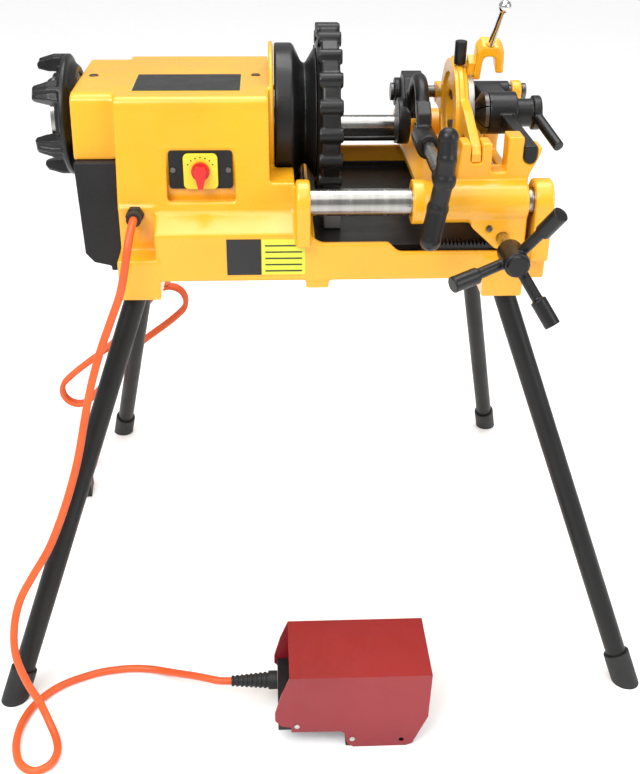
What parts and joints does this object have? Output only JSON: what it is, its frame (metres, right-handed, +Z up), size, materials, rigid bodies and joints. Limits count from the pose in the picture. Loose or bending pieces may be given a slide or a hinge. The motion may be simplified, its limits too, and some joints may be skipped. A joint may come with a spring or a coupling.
{
  "type": "pipe threading machine",
  "caption": "Floor-standing pipe threading machine on four splayed legs, with a hammer chuck, a sliding carriage that carries cutter, die head and reamer, and a foot pedal.",
  "frame": {"origin": "on the floor, under the centre of the machine and its pedal seen from above, cords left out", "axes": "+X along the spindle from the rear centring device towards the tools, +Y from the operator's side towards the back, +Z up"},
  "size_m": [0.8734, 0.839, 0.8461],
  "materials": {
    "yellow_enamel": "gloss enamel on cast metal",
    "black_enamel": "gloss black enamel on cast metal",
    "black_tube": "semi-gloss black paint on steel tube",
    "bright_steel": "bright ground steel",
    "dark_steel": "machined steel, lightly oiled",
    "bronze": "plain bearing bronze",
    "motor_iron": "grey iron",
    "rubber": "moulded black rubber",
    "orange_sheath": "flexible cable sheath",
    "red_enamel": "dark red paint on sheet steel",
    "black_plastic": "moulded plastic",
    "dial_yellow": "moulded plastic",
    "switch_red": "moulded plastic"
  },
  "bodies": {
    "machine_frame": {"base_casting": "yellow_enamel", "chip_tray": "black_enamel", "leg_front_left": "black_tube", "leg_front_right": "black_tube", "leg_rear_left": "black_tube", "leg_rear_right": "black_tube", "leg_caps": "rubber", "headstock_casting": "yellow_enamel", "headstock_cover": "yellow_enamel", "cover_screws": "dark_steel", "motor_guard": "black_enamel", "motor": "motor_iron", "spindle_bushes": "bronze", "rail_front": "bright_steel", "rail_rear": "bright_steel", "feed_rack": "black_enamel", "switch_plate": "black_plastic", "switch_dial": "dial_yellow", "cord_glands": "rubber", "pedal_base": "black_plastic", "pedal_guard": "red_enamel", "pedal_boot": "rubber", "pedal_cord": "orange_sheath", "mains_cord": "orange_sheath", "mains_hank": "orange_sheath", "mains_plug": "rubber"},
    "switch": {"switch_knob": "switch_red"},
    "spindle": {"spindle_tube": "bright_steel", "spindle_gear": "dark_steel", "chuck_body": "black_enamel"},
    "scroll_wheel": {"hammer_wheel": "black_enamel"},
    "jaw_1": {"chuck_jaw_1": "dark_steel"},
    "jaw_2": {"chuck_jaw_2": "dark_steel"},
    "jaw_3": {"chuck_jaw_3": "dark_steel"},
    "rear_scroll": {"rear_disc": "black_enamel"},
    "centring_1": {"rear_jaw_1": "dark_steel"},
    "centring_2": {"rear_jaw_2": "dark_steel"},
    "centring_3": {"rear_jaw_3": "dark_steel"},
    "idler": {"idler_gear": "dark_steel"},
    "motor_rotor": {"motor_pinion": "dark_steel"},
    "carriage": {"carriage_casting": "yellow_enamel", "tool_pivot": "bright_steel"},
    "feed": {"feed_shaft": "bright_steel", "star_handle": "black_enamel"},
    "cutter": {"cutter_frame": "black_enamel"},
    "cutter_slider": {"cutter_wheel": "bright_steel"},
    "cutter_feed": {"cutter_screw": "bright_steel", "cutter_handle": "black_enamel"},
    "die_block": {"die_head": "yellow_enamel"},
    "threading_die_1": {"die_1": "dark_steel"},
    "threading_die_2": {"die_2": "dark_steel"},
    "threading_die_3": {"die_3": "dark_steel"},
    "threading_die_4": {"die_4": "dark_steel"},
    "throwout": {"die_cam": "yellow_enamel", "throwout_lever": "yellow_enamel", "lever_handle": "bright_steel"},
    "reamer": {"reamer_arm": "black_enamel"},
    "reamer_slider": {"reamer_quill": "black_enamel", "reamer_cone": "dark_steel"},
    "pedal_tread": {"treadle": "black_plastic"}
  },
  "joints": [
    {"name": "switch_turn", "type": "hinge", "parent": "machine_frame", "child": "switch", "pos_m": [-0.1445, -0.113, 0.658], "axis": [0, 1, 0], "range_deg": [-60, 60]},
    {"name": "spindle_spin", "type": "hinge", "parent": "machine_frame", "child": "spindle", "pos_m": [-0.1, 0.02, 0.69], "axis": [1, 0, 0], "continuous": true},
    {"name": "chuck_scroll", "type": "hinge", "parent": "spindle", "child": "scroll_wheel", "pos_m": [0.015, 0.02, 0.69], "axis": [1, 0, 0], "range_deg": [0, 60]},
    {"name": "jaw_1_slide", "type": "slide", "parent": "spindle", "child": "jaw_1", "axis": [0, 0, -1], "range_m": [0, 0.0201]},
    {"name": "jaw_2_slide", "type": "slide", "parent": "spindle", "child": "jaw_2", "axis": [0, 0.866, 0.5], "range_m": [0, 0.0201]},
    {"name": "jaw_3_slide", "type": "slide", "parent": "spindle", "child": "jaw_3", "axis": [0, -0.866, 0.5], "range_m": [0, 0.0201]},
    {"name": "rear_scroll_turn", "type": "hinge", "parent": "spindle", "child": "rear_scroll", "pos_m": [-0.315, 0.02, 0.69], "axis": [1, 0, 0], "range_deg": [0, 60]},
    {"name": "centring_1_slide", "type": "slide", "parent": "spindle", "child": "centring_1", "axis": [0, 0, -1], "range_m": [0, 0.0121]},
    {"name": "centring_2_slide", "type": "slide", "parent": "spindle", "child": "centring_2", "axis": [0, 0.866, 0.5], "range_m": [0, 0.0121]},
    {"name": "centring_3_slide", "type": "slide", "parent": "spindle", "child": "centring_3", "axis": [0, -0.866, 0.5], "range_m": [0, 0.0121]},
    {"name": "idler_spin", "type": "hinge", "parent": "machine_frame", "child": "idler", "pos_m": [-0.1, 0.02, 0.63], "axis": [1, 0, 0], "continuous": true},
    {"name": "motor_spin", "type": "hinge", "parent": "machine_frame", "child": "motor_rotor", "pos_m": [-0.12, 0.02, 0.597], "axis": [1, 0, 0], "continuous": true},
    {"name": "carriage_slide", "type": "slide", "parent": "machine_frame", "child": "carriage", "axis": [1, 0, 0], "range_m": [-0.05, 0.004]},
    {"name": "feed_turn", "type": "hinge", "parent": "carriage", "child": "feed", "pos_m": [0.215, -0.2, 0.588], "axis": [0, 1, 0], "range_deg": [-275, 25]},
    {"name": "cutter_swing", "type": "hinge", "parent": "carriage", "child": "cutter", "pos_m": [0.13, 0.13, 0.692], "axis": [-1, 0, 0], "range_deg": [0, 110]},
    {"name": "cutter_advance", "type": "slide", "parent": "cutter", "child": "cutter_slider", "axis": [0, 1, 0], "range_m": [0, 0.0151]},
    {"name": "cutter_screw_turn", "type": "hinge", "parent": "cutter_slider", "child": "cutter_feed", "pos_m": [0.132, -0.15, 0.676], "axis": [0, 1, 0], "range_deg": [0, 1800]},
    {"name": "die_head_swing", "type": "hinge", "parent": "carriage", "child": "die_block", "pos_m": [0.175, 0.13, 0.692], "axis": [-1, 0, 0], "range_deg": [0, 110]},
    {"name": "die_1_slide", "type": "slide", "parent": "die_block", "child": "threading_die_1", "axis": [0, -0.7071, 0.7071], "range_m": [0, 0.00402]},
    {"name": "die_2_slide", "type": "slide", "parent": "die_block", "child": "threading_die_2", "axis": [0, -0.7071, -0.7071], "range_m": [0, 0.00402]},
    {"name": "die_3_slide", "type": "slide", "parent": "die_block", "child": "threading_die_3", "axis": [0, 0.7071, -0.7071], "range_m": [0, 0.00402]},
    {"name": "die_4_slide", "type": "slide", "parent": "die_block", "child": "threading_die_4", "axis": [0, 0.7071, 0.7071], "range_m": [0, 0.00402]},
    {"name": "throwout_turn", "type": "hinge", "parent": "die_block", "child": "throwout", "pos_m": [0.19, 0.02, 0.69], "axis": [1, 0, 0], "range_deg": [0, 25]},
    {"name": "reamer_swing", "type": "hinge", "parent": "carriage", "child": "reamer", "pos_m": [0.24, 0.13, 0.692], "axis": [-1, 0, 0], "range_deg": [0, 110]},
    {"name": "reamer_advance", "type": "slide", "parent": "reamer", "child": "reamer_slider", "axis": [1, 0, 0], "range_m": [-0.02, 0]},
    {"name": "treadle_press", "type": "hinge", "parent": "machine_frame", "child": "pedal_tread", "pos_m": [-0.022, -0.35, 0.036], "axis": [0, 1, 0], "range_deg": [0, 8], "stiffness_Nm_per_rad": 4, "springref_deg": -20.05}
  ],
  "couplings": [
    {"joint": "idler_spin", "follows": "spindle_spin", "ratio": -3},
    {"joint": "motor_spin", "follows": "spindle_spin", "ratio": 5.25},
    {"joint": "feed_turn", "follows": "carriage_slide", "rad_per_m": 95.238},
    {"joint": "cutter_advance", "follows": "cutter_screw_turn", "m_per_rad": 0.00047746},
    {"joint": "jaw_1_slide", "follows": "chuck_scroll", "m_per_rad": 0.019099},
    {"joint": "jaw_2_slide", "follows": "chuck_scroll", "m_per_rad": 0.019099},
    {"joint": "jaw_3_slide", "follows": "chuck_scroll", "m_per_rad": 0.019099},
    {"joint": "centring_1_slide", "follows": "rear_scroll_turn", "m_per_rad": 0.011459},
    {"joint": "centring_2_slide", "follows": "rear_scroll_turn", "m_per_rad": 0.011459},
    {"joint": "centring_3_slide", "follows": "rear_scroll_turn", "m_per_rad": 0.011459},
    {"joint": "die_1_slide", "follows": "throwout_turn", "m_per_rad": 0.0091673},
    {"joint": "die_2_slide", "follows": "throwout_turn", "m_per_rad": 0.0091673},
    {"joint": "die_3_slide", "follows": "throwout_turn", "m_per_rad": 0.0091673},
    {"joint": "die_4_slide", "follows": "throwout_turn", "m_per_rad": 0.0091673}
  ]
}
